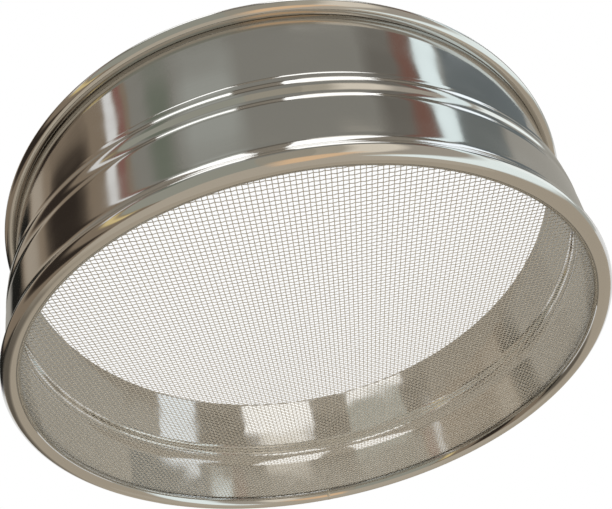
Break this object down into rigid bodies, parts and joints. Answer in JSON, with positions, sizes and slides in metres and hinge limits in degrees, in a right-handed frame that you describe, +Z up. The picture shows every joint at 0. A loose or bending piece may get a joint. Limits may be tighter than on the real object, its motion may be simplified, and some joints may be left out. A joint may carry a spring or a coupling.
{
  "type": "drum sieve",
  "caption": "Round sheet-steel drum with a rolled rim and a stiffening bead, closed below by fine woven wire cloth in a rolled hoop, for sifting flour.",
  "frame": {"origin": "centre of the circle that the hoop stands on, at the surface it stands on", "axes": "+Z up along the axis of the drum, from the wire cloth to the open rim; the welded joint of the hoop is near +Y"},
  "size_m": [0.222, 0.222, 0.06],
  "materials": {
    "polished_steel": "mirror-polished stainless sheet with fine wiping scratches",
    "weld": "ground and buffed weld",
    "wire": "bright drawn stainless wire, plain weave"
  },
  "bodies": {
    "root": {"drum_band": "polished_steel", "mesh_hoop": "polished_steel", "hoop_weld": "weld", "warp_wires": "wire", "weft_wires": "wire"}
  },
  "joints": []
}
